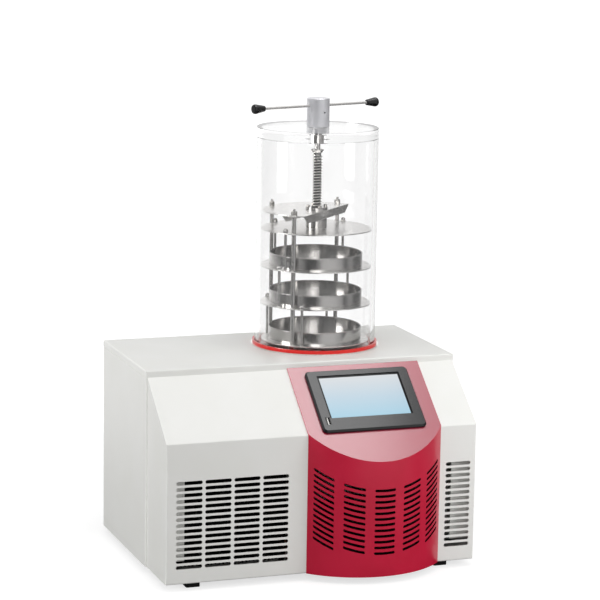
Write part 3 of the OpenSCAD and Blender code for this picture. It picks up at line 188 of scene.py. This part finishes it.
def gloss_round(tree, way):
    """Parts of a direction, and the grey that GLOSS_ROUND has there."""
    parts = add(tree, "ShaderNodeSeparateXYZ", (way,)).outputs
    angle = add(tree, "ShaderNodeMath", (parts["X"], parts["Y"]), operation="ARCTAN2")
    share = add(tree, "ShaderNodeMapRange", (angle, -math.pi, math.pi))
    ramp = add(tree, "ShaderNodeValToRGB", (share,))
    stops = ramp.color_ramp.elements
    for i, (at, grey) in enumerate(GLOSS_ROUND):
        stop = stops[i] if i < 2 else stops.new(at)
        stop.position = at
        stop.color = (grey, grey, grey, 1)
    return parts, ramp


def make_world():
    """White room for the eye and for glass. Gloss mirrors dark screens and white boxes round the object."""
    world = bpy.data.worlds.new("studio")
    bpy.context.scene.world = world
    tree = empty_tree(world)
    path = add(tree, "ShaderNodeLightPath").outputs
    parts, round_grey = gloss_round(tree, add(tree, "ShaderNodeTexCoord").outputs["Generated"])
    above = add(tree, "ShaderNodeMapRange", (parts["Z"], *CEILING_RISE, 0.0, CEILING_GREY),
                interpolation_type="SMOOTHSTEP")
    room = add(tree, "ShaderNodeMath", (round_grey, above), operation="MAXIMUM")
    dim, gloss, white = (add(tree, "ShaderNodeBackground", {"Color": WHITE, "Strength": strength})
                         for strength in (AMBIENT, room, 1.0))
    seen = add(tree, "ShaderNodeMixShader", (mirrored_view(tree, path), dim, gloss))
    seen = add(tree, "ShaderNodeMixShader", (straight_view(tree, path), seen, white))
    add(tree, "ShaderNodeOutputWorld", {"Surface": seen})


def make_floor():
    """White paper that keeps a faint shadow by the object and runs out to pure white."""
    mesh = bmesh.new()
    bmesh.ops.create_grid(mesh, x_segments=2, y_segments=2, size=PAPER_HALF)
    data = bpy.data.meshes.new("floor")
    mesh.to_mesh(data)
    mesh.free()
    floor = bpy.data.objects.new("floor", data)
    bpy.context.scene.collection.objects.link(floor)
    material, tree, place = start("studio_paper")
    path = add(tree, "ShaderNodeLightPath").outputs
    reach = add(tree, "ShaderNodeVectorMath", (place,), operation="LENGTH").outputs["Value"]
    fade = add(tree, "ShaderNodeMapRange", (reach, *PAPER_FADE, *PAPER_GLOW), interpolation_type="SMOOTHSTEP")
    far = add(tree, "ShaderNodeMapRange", (reach, *PAPER_MIRROR))
    grey = add(tree, "ShaderNodeMath", (gloss_round(tree, place)[1], far), operation="MULTIPLY")
    paper = add(tree, "ShaderNodeBsdfDiffuse", {"Color": PAPER_TONE})
    mirror, glow = (add(tree, "ShaderNodeEmission", {"Color": WHITE, "Strength": strength})
                    for strength in (grey, fade))
    lit = add(tree, "ShaderNodeAddShader", (paper, glow))
    seen = add(tree, "ShaderNodeMixShader", (mirrored_view(tree, path), paper, mirror))
    seen = add(tree, "ShaderNodeMixShader", (straight_view(tree, path), seen, lit))
    add(tree, "ShaderNodeOutputMaterial", {"Surface": seen})
    data.materials.append(material)


make_camera()
make_world()
make_floor()
for lamp in LAMPS:
    area_lamp(*lamp)

bpy.context.scene.view_settings.view_transform = "Standard"

# ---- Shapes made here ----

# Millimetres above the floor, and radii from the chamber's axis
TUBE_IN, TUBE_OUT = 107.0, 115.0
TUBE_FOOT, PLATE_FOOT, PLATE_TOP = 383.0, 774.0, 793.0
BOSS_R, BOSS_FOOT, BORE_R, BORE_STEP, SLEEVE_R = 16.0, 764.0, 11.56, 782.0, 8.06
EDGE_CUT = 0.8
# Drawn coarser than the real 4 mm pitch, so that the turns read from where the object is looked at
THREAD_LOW, THREAD_HIGH, THREAD_PITCH = 622.5, 746.0, 5.3
THREAD_R, THREAD_ROOT, COLLAR_R, SOCKET_R, TIP_R, TIP_FOOT = 9.8, 7.2, 9.7, 5.6, 6.0, 613.5
# Heights of the ridge's flank and crest, as shares of the pitch
FLANK_SHARE, CREST_SHARE = 0.22, 0.2
# Depth of the ridge's root inside the core, and of the socket below the shaft
ROOT_SINK, SOCKET_PLAY = 0.2, 0.5
# Faces that meet at more degrees than this keep a sharp edge
SHARP_ANGLE = 14
# Steps of a full turn
VESSEL_STEPS, CORE_STEPS, THREAD_STEPS = 256, 64, 48


def new_object(name, mesh, body, *stands_for):
    """Object at the origin from a bmesh, its flat rims kept sharp, riding on a body in place of CAD nodes."""
    bmesh.ops.remove_doubles(mesh, verts=mesh.verts, dist=0.002 * MM)
    bmesh.ops.recalc_face_normals(mesh, faces=mesh.faces)
    data = bpy.data.meshes.new(name)
    mesh.to_mesh(data)
    mesh.free()
    data.shade_smooth()
    data.set_sharp_from_angle(angle=math.radians(SHARP_ANGLE))
    piece = bpy.data.objects.new(name, data)
    bpy.context.scene.collection.objects.link(piece)
    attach(piece, body)
    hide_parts(*stands_for)
    return piece


def profile(mesh, points, closed):
    """Line of (radius, height) points in millimetres, standing on the front of the chamber's axis."""
    verts = [mesh.verts.new((AXIS.x, AXIS.y - r * MM, z * MM)) for r, z in points]
    pairs = list(zip(verts, verts[1:])) + ([(verts[-1], verts[0])] if closed else [])
    return verts + [mesh.edges.new(pair) for pair in pairs]


def turned(mesh, points, steps, closed=True):
    """Full turn of a profile about the chamber's axis."""
    bmesh.ops.spin(mesh, geom=profile(mesh, points, closed), cent=(AXIS.x, AXIS.y, 0), axis=(0, 0, 1),
                   dvec=(0, 0, 0), angle=math.tau, steps=steps, use_merge=True, use_duplicate=False)


def eased(points, cut):
    """Closed profile with each corner cut back by that many millimetres and rounded with one more point."""
    out = []
    for i, corner in enumerate(points):
        here = Vector(corner)
        before, after = Vector(points[i - 1]) - here, Vector(points[(i + 1) % len(points)]) - here
        first, last = here + before.normalized() * cut, here + after.normalized() * cut
        chord = (first + last) / 2
        out += [tuple(first), tuple(chord + (here - chord) * 0.4), tuple(last)]
    return out


def make_vessel():
    """Clear tube and top plate, bonded without a visible joint and with flame polished edges."""
    mesh = bmesh.new()
    outline = [
        (TUBE_IN, TUBE_FOOT), (TUBE_OUT, TUBE_FOOT), (TUBE_OUT, PLATE_TOP), (SLEEVE_R, PLATE_TOP),
        (SLEEVE_R, BORE_STEP), (BORE_R, BORE_STEP), (BORE_R, BOSS_FOOT), (BOSS_R, BOSS_FOOT),
        (BOSS_R, PLATE_FOOT), (TUBE_IN, PLATE_FOOT),
    ]
    turned(mesh, eased(outline, EDGE_CUT), VESSEL_STEPS)
    return new_object("drying_chamber", mesh, "cabinet", "chamber_tube", "chamber_top")


def make_thread():
    """Press screw: a plain core with collars and a socket, and the ridge that climbs it."""
    mesh = bmesh.new()
    socket_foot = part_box("drive_shaft")[0][2] / MM - SOCKET_PLAY
    turned(mesh, [
        (0, TIP_FOOT), (TIP_R - 1, TIP_FOOT), (TIP_R, TIP_FOOT + 1), (TIP_R, THREAD_LOW - 1.6),
        (COLLAR_R - 0.8, THREAD_LOW - 1.6), (COLLAR_R, THREAD_LOW - 0.8), (COLLAR_R, THREAD_LOW),
        (THREAD_ROOT, THREAD_LOW + 1.4), (THREAD_ROOT, THREAD_HIGH - 2.4), (COLLAR_R, THREAD_HIGH - 1.0),
        (COLLAR_R, THREAD_HIGH - 0.3), (COLLAR_R - 0.3, THREAD_HIGH), (SOCKET_R, THREAD_HIGH),
        (SOCKET_R, socket_foot), (0, socket_foot),
    ], CORE_STEPS, closed=False)
    flank, crest = FLANK_SHARE * THREAD_PITCH, CREST_SHARE * THREAD_PITCH
    turns = int((THREAD_HIGH - THREAD_LOW - 2 * flank - crest) / THREAD_PITCH)
    foot = THREAD_LOW + 0.1
    ridge = profile(mesh, [
        (THREAD_ROOT - ROOT_SINK, foot), (THREAD_R, foot + flank), (THREAD_R, foot + flank + crest),
        (THREAD_ROOT - ROOT_SINK, foot + 2 * flank + crest),
    ], closed=True)
    bmesh.ops.spin(mesh, geom=ridge, cent=(AXIS.x, AXIS.y, 0), axis=(0, 0, 1),
                   dvec=(0, 0, THREAD_PITCH * MM / THREAD_STEPS), angle=math.tau * turns,
                   steps=THREAD_STEPS * turns, use_merge=False, use_duplicate=False)
    bmesh.ops.holes_fill(mesh, edges=[e for e in mesh.edges if e.is_boundary], sides=0)
    return new_object("threaded_screw", mesh, "screw", "press_screw")


VESSEL = make_vessel()
SCREW = make_thread()

# ---- Materials ----
# On a colour Mix node 0 is the factor, 6 and 7 are the colours and output 2 is the blend.
# A Map Range node takes the value, the two ends that it comes from and the two it goes to.

# Height, in metres, under which the fascia has slots and no slope
SLOTS_TOP = 0.218
# Half the width, in metres, of what only shows through the fascia's slots and carries painted shade
HIDDEN_HALF = 0.121
# Painted shade: the dark tone of what lies behind the fascia's slots
FASCIA_SLOT_SHADE = "#1A1A1B"
# A face whose normal has more height than this is on the fascia's slope or, lower down, in a slot
TILT_LIMIT = 0.35
# Most of a noise lies between these
NOISE_SPAN = (0.3, 0.7)


def grain(tree, place, size, low, high, detail=2.0, stretch=(1, 1, 1)):
    """Noise with cells about size millimetres wide, drawn out by stretch: as it comes, and spread so
    that most of it covers low to high."""
    scale = tuple(1 / (s * size * MM) for s in stretch)
    scaled = add(tree, "ShaderNodeMapping", {"Vector": place, "Scale": scale})
    noise = add(tree, "ShaderNodeTexNoise", {"Vector": scaled, "Scale": 1.0, "Detail": detail})
    return noise, add(tree, "ShaderNodeMapRange", (noise, *NOISE_SPAN, low, high))


def behind_fascia(tree, place):
    """1 on what lies behind the slotted part of the fascia, above the pan's underside: where shade is
    painted.
    """
    spot = add(tree, "ShaderNodeSeparateXYZ", (place,)).outputs
    across = add(tree, "ShaderNodeMath", (spot["X"], centre_of("fascia").x, HIDDEN_HALF), operation="COMPARE")
    above = add(tree, "ShaderNodeMath", (spot["Z"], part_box("fascia")[0][2] + MM), operation="GREATER_THAN")
    below = add(tree, "ShaderNodeMath", (spot["Z"], SLOTS_TOP), operation="LESS_THAN")
    both = add(tree, "ShaderNodeMath", (above, below), operation="MULTIPLY")
    return add(tree, "ShaderNodeMath", (both, across), operation="MULTIPLY")


def powder_coat(name, light, dark, rough=0.42, painted_shade=None):
    """Polyester powder coat on steel: satin, with a fine orange peel. Behind the fascia it may carry painted
    shade, a dark tone for the shade inside the cabinet.
    """
    material, tree, place = start(name)
    cloud = grain(tree, place, 90, 0, 1, detail=3)[1]
    peel, roughness = grain(tree, place, 1.4, rough - 0.03, rough + 0.03, detail=1)
    tone = add(tree, "ShaderNodeMix", {0: cloud, 6: dark, 7: light}, data_type="RGBA").outputs[2]
    # Painted shade behind the fascia's slots
    if painted_shade:
        tone = add(tree, "ShaderNodeMix", {0: behind_fascia(tree, place), 6: tone, 7: painted_shade},
                   data_type="RGBA").outputs[2]
    relief = add(tree, "ShaderNodeBump", {"Height": peel, "Distance": 0.02 * MM, "Strength": 0.4})
    shader = add(tree, "ShaderNodeBsdfPrincipled", {"Base Color": tone, "Roughness": roughness,
                                                    "Normal": relief})
    add(tree, "ShaderNodeOutputMaterial", {"Surface": shader})
    return material


def stoved_enamel(name, light, dark, slope, cut):
    """Stoved gloss enamel under a clear coat, with painted shade: a deeper tone on the slope against the
    light and reflection it gets, and near black on the slots' walls for the shade in them.
    """
    material, tree, place = start(name)
    cloud = grain(tree, place, 70, 0, 1)[1]
    peel, roughness = grain(tree, place, 8, 0.31, 0.35, detail=1)
    normal = add(tree, "ShaderNodeSeparateXYZ", (add(tree, "ShaderNodeNewGeometry").outputs["Normal"],))
    level = add(tree, "ShaderNodeMath", (normal.outputs["Z"],), operation="ABSOLUTE")
    tilted = add(tree, "ShaderNodeMath", (level, TILT_LIMIT), operation="GREATER_THAN")
    height = add(tree, "ShaderNodeSeparateXYZ", (place,)).outputs["Z"]
    low = add(tree, "ShaderNodeMath", (height, SLOTS_TOP), operation="LESS_THAN")
    # Mask of the slots' walls, where shade is painted and gloss is taken away
    slot_shade_mask = add(tree, "ShaderNodeMath", (tilted, low), operation="MULTIPLY")
    # Both are full on the slope, this much on the upright front and nothing in a slot
    gloss = {}
    for socket, front in (("Coat Weight", 0.35), ("Specular IOR Level", 0.45)):
        outside = add(tree, "ShaderNodeMapRange", (tilted, 0.0, 1.0, front, 1.0))
        gloss[socket] = add(tree, "ShaderNodeMath", (outside, slot_shade_mask), operation="SUBTRACT", use_clamp=True)
    tone = add(tree, "ShaderNodeMix", {0: cloud, 6: dark, 7: light}, data_type="RGBA").outputs[2]
    # Painted shade: the slope takes a deeper tone than the upright front, against the light and reflection
    # that fall on it
    tone = add(tree, "ShaderNodeMix", {0: tilted, 6: tone, 7: slope}, data_type="RGBA").outputs[2]
    # Painted shade: the slots' walls go near black for the shade in them
    tone = add(tree, "ShaderNodeMix", {0: slot_shade_mask, 6: tone, 7: cut}, data_type="RGBA").outputs[2]
    relief = add(tree, "ShaderNodeBump", {"Height": peel, "Distance": 0.03 * MM, "Strength": 0.5})
    shader = add(tree, "ShaderNodeBsdfPrincipled", {"Base Color": tone, "Roughness": roughness,
                                                    "Normal": relief, "Coat Roughness": 0.16, **gloss})
    add(tree, "ShaderNodeOutputMaterial", {"Surface": shader})
    return material


def brushed_steel(name, colour, low, high, stretch, cell=0.8):
    """Sheet brushed one way: the lines carry a roughness of low to high and a faint relief."""
    material, tree, place = start(name)
    lines, roughness = grain(tree, place, cell, low, high, 3, stretch)
    relief = add(tree, "ShaderNodeBump", {"Height": lines, "Distance": 0.01 * MM, "Strength": 0.4})
    shader = add(tree, "ShaderNodeBsdfPrincipled", {"Base Color": colour, "Metallic": 1.0,
                                                    "Roughness": roughness, "Normal": relief})
    add(tree, "ShaderNodeOutputMaterial", {"Surface": shader})
    return material


def turned_metal(name, colour, low, high, cell=0.5, depth=0.01, metal=1.0):
    """Metal turned on a lathe: rings along the chamber's axis carry a roughness of low to high.
    An oxide skin is less metallic."""
    material, tree, place = start(name)
    rings, roughness = grain(tree, place, cell, low, high, 2, (60, 60, 1))
    relief = add(tree, "ShaderNodeBump", {"Height": rings, "Distance": depth * MM, "Strength": 0.5})
    shader = add(tree, "ShaderNodeBsdfPrincipled", {"Base Color": colour, "Metallic": metal,
                                                    "Roughness": roughness, "Normal": relief})
    add(tree, "ShaderNodeOutputMaterial", {"Surface": shader})
    return material


def rolled_thread(name, crest, root_shade):
    """Rolled steel thread with a painted highlight on its crests and painted shade in the roots between them.
    """
    material, tree, place = start(name)
    flat = add(tree, "ShaderNodeMapping", {"Vector": place, "Location": (-AXIS.x, -AXIS.y, 0),
                                           "Scale": (1, 1, 0)})
    reach = add(tree, "ShaderNodeVectorMath", (flat,), operation="LENGTH").outputs["Value"]
    crest_highlight_mask = add(tree, "ShaderNodeMapRange", (reach, (THREAD_ROOT + 0.6) * MM, (THREAD_R - 0.3) * MM))
    fine, roughness = grain(tree, place, 0.6, 0.16, 0.26)
    # Painted highlight on the crests and painted shade in the roots, by distance from the axis
    tone = add(tree, "ShaderNodeMix", {0: crest_highlight_mask, 6: root_shade, 7: crest}, data_type="RGBA").outputs[2]
    relief = add(tree, "ShaderNodeBump", {"Height": fine, "Distance": 0.004 * MM, "Strength": 0.4})
    shader = add(tree, "ShaderNodeBsdfPrincipled", {"Base Color": tone, "Metallic": 0.75,
                                                    "Roughness": roughness, "Normal": relief})
    add(tree, "ShaderNodeOutputMaterial", {"Surface": shader})
    return material


def moulded(name, light, dark, rough, texture=0.8, depth=0.02, coat=0.0):
    """Moulded plastic or rubber with a fine spark eroded texture."""
    material, tree, place = start(name)
    fine, roughness = grain(tree, place, texture, rough - 0.04, rough + 0.05)
    cloud = grain(tree, place, 25, 0, 1)[1]
    tone = add(tree, "ShaderNodeMix", {0: cloud, 6: dark, 7: light}, data_type="RGBA").outputs[2]
    relief = add(tree, "ShaderNodeBump", {"Height": fine, "Distance": depth * MM, "Strength": 0.4})
    shader = add(tree, "ShaderNodeBsdfPrincipled", {"Base Color": tone, "Roughness": roughness,
                                                    "Normal": relief, "Coat Weight": coat,
                                                    "Coat Roughness": 0.08})
    add(tree, "ShaderNodeOutputMaterial", {"Surface": shader})
    return material


def clear_acrylic(name):
    """Cast acrylic, flame polished: clear as water, and lamps shine through it."""
    material, tree, place = start(name)
    roughness = grain(tree, place, 40, 0.0, 0.01)[1]
    shader = add(tree, "ShaderNodeBsdfPrincipled", {"Base Color": "#F8F8F8", "Roughness": roughness,
                                                    "IOR": 1.49, "Transmission Weight": 1.0})
    open_air = add(tree, "ShaderNodeBsdfTransparent", {"Color": "#F8F9F9"})
    shadow = add(tree, "ShaderNodeLightPath").outputs["Is Shadow Ray"]
    either = add(tree, "ShaderNodeMixShader", (shadow, shader, open_air))
    add(tree, "ShaderNodeOutputMaterial", {"Surface": either})
    return material


def touch_panel(name):
    """Lit picture behind glass, pale grey over blue, with a black printed border at its sides and top."""
    material, tree, place = start(name)
    low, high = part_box("display_glass")
    side, head = 3 * MM, 2.7 * MM
    spot = add(tree, "ShaderNodeSeparateXYZ", (place,)).outputs
    ramp = add(tree, "ShaderNodeValToRGB", (add(tree, "ShaderNodeMapRange", (spot["Z"], low[2], high[2])),))
    stops = ramp.color_ramp.elements
    stops[0].color = linear("#A4CEE1")
    stops[1].color = linear("#D8DADC")
    stops.new(0.5).color = linear("#BED2DF")
    across = add(tree, "ShaderNodeMath", (spot["X"], (low[0] + high[0]) / 2, (high[0] - low[0]) / 2 - side),
                 operation="COMPARE")
    below = add(tree, "ShaderNodeMath", (spot["Z"], high[2] - head), operation="LESS_THAN")
    lit = add(tree, "ShaderNodeMath", (across, below), operation="MULTIPLY")
    roughness = grain(tree, place, 30, 0.10, 0.14)[1]
    shader = add(tree, "ShaderNodeBsdfPrincipled", {"Base Color": "#0B0C0D", "Roughness": roughness,
                                                    "Specular IOR Level": 0.12, "Emission Color": ramp,
                                                    "Emission Strength": lit})
    add(tree, "ShaderNodeOutputMaterial", {"Surface": shader})
    return material


def usb_insert(name):
    """Black shell with a white contact tongue down its middle."""
    material, tree, place = start(name)
    across = add(tree, "ShaderNodeSeparateXYZ", (place,)).outputs["X"]
    tongue = add(tree, "ShaderNodeMath", (across, centre_of("usb_socket").x, 1.3 * MM), operation="COMPARE")
    tone = add(tree, "ShaderNodeMix", {0: tongue, 6: "#0A0A0B", 7: "#E4E4E0"}, data_type="RGBA").outputs[2]
    roughness = grain(tree, place, 0.5, 0.35, 0.45)[1]
    shader = add(tree, "ShaderNodeBsdfPrincipled", {"Base Color": tone, "Roughness": roughness})
    add(tree, "ShaderNodeOutputMaterial", {"Surface": shader})
    return material


FINISHES = {
    "cabinet_enamel": powder_coat("polyester_powder_coat", "#E9E9E6", "#E6E6E2"),
    # The chassis carries painted shade behind the fascia's slots
    "zinc_steel": powder_coat("chassis_coat_painted_shade", "#DCDCD8", "#D4D4D0", painted_shade=FASCIA_SLOT_SHADE),
    # The slope tone and the slots' near black are painted shade
    "crimson_enamel": stoved_enamel("stoved_crimson_enamel", "#C61A3C", "#BE1737", slope="#9A1836",
                                    cut="#120305"),
    "black_rubber": moulded("moulded_rubber", "#141414", "#0C0C0C", 0.6, texture=0.9, depth=0.05),
    "bezel_plastic": moulded("polycarbonate_frame", "#141517", "#111214", 0.17, texture=0.5, depth=0.005),
    "display_glass": touch_panel("touch_panel_glass"),
    "nickel_steel": brushed_steel("nickel_plated_steel", "#D2CFCB", 0.10, 0.16, (1, 1, 1), cell=2),
    "stainless_steel": brushed_steel("brushed_stainless_sheet", "#EEECEA", 0.22, 0.32, (30, 1, 1)),
    "polished_steel": brushed_steel("polished_stainless", "#BDBBB9", 0.10, 0.16, (20, 20, 1)),
    "steel_rod": turned_metal("ground_stainless_rod", "#BBB9B7", 0.12, 0.2),
    # Bright crests and dark roots are painted highlight and painted shade
    "screw_steel": rolled_thread("rolled_thread_steel", crest="#F2F0EC", root_shade="#2B2A29"),
    "copper_tube": turned_metal("drawn_copper", "#C98A66", 0.24, 0.38, cell=3),
    "black_foam": moulded("nitrile_foam", "#1A1A1A", "#121212", 0.85, texture=1.6, depth=0.2),
    "red_silicone": moulded("silicone_rubber", "#DC160B", "#D4130A", 0.30, texture=1.2, depth=0.01, coat=0.3),
    "black_enamel": powder_coat("black_stoved_paint", "#101011", "#0C0C0D", 0.4),
    # Painted shade: the fin stock is drawn near black for the dark inside of the cabinet behind the vents
    "condenser_fin": brushed_steel("fin_stock_painted_shade", "#2C2D2E", 0.4, 0.55, (1, 1, 20)),
    "motor_steel": brushed_steel("zinc_plated_steel", "#808182", 0.3, 0.45, (1, 1, 1), cell=6),
    "black_plastic": moulded("black_moulding", "#0D0D0F", "#09090A", 0.22, texture=0.9, depth=0.01, coat=0.3),
    "grey_enamel": powder_coat("grey_powder_coat", "#3E4042", "#383A3C", 0.45),
    "brass_nickel": brushed_steel("nickel_plated_brass", "#C2BDB2", 0.16, 0.26, (1, 1, 1)),
    "lever_red": moulded("vinyl_sleeve", "#A81C1A", "#9C1614", 0.4, texture=1.0),
    "clear_acrylic": clear_acrylic("cast_acrylic"),
    "turned_aluminium": turned_metal("anodised_aluminium", "#D6D6DA", 0.34, 0.44, cell=0.7, metal=0.5),
}

# Nodes that look unlike the rest of their slot
OWN_FINISHES = {
    "usb_socket": usb_insert("usb_insert"),
    "handle_bar": turned_metal("polished_rod", "#E8E6E4", 0.08, 0.14, cell=3, depth=0.004, metal=0.75),
    # The front cover is the white coat with painted shade behind the fascia's slots
    "front_cover": powder_coat("front_coat_painted_shade", "#E9E9E6", "#E6E6E2", painted_shade=FASCIA_SLOT_SHADE),
}

for part in frame["record"]["subparts"]:
    piece = NODES[part["node"]]
    piece.data.materials.clear()
    piece.data.materials.append(OWN_FINISHES.get(part["node"]) or FINISHES[part["material_slot"]])

for piece, finish in ((VESSEL, "clear_acrylic"), (SCREW, "screw_steel")):
    piece.data.materials.append(FINISHES[finish])
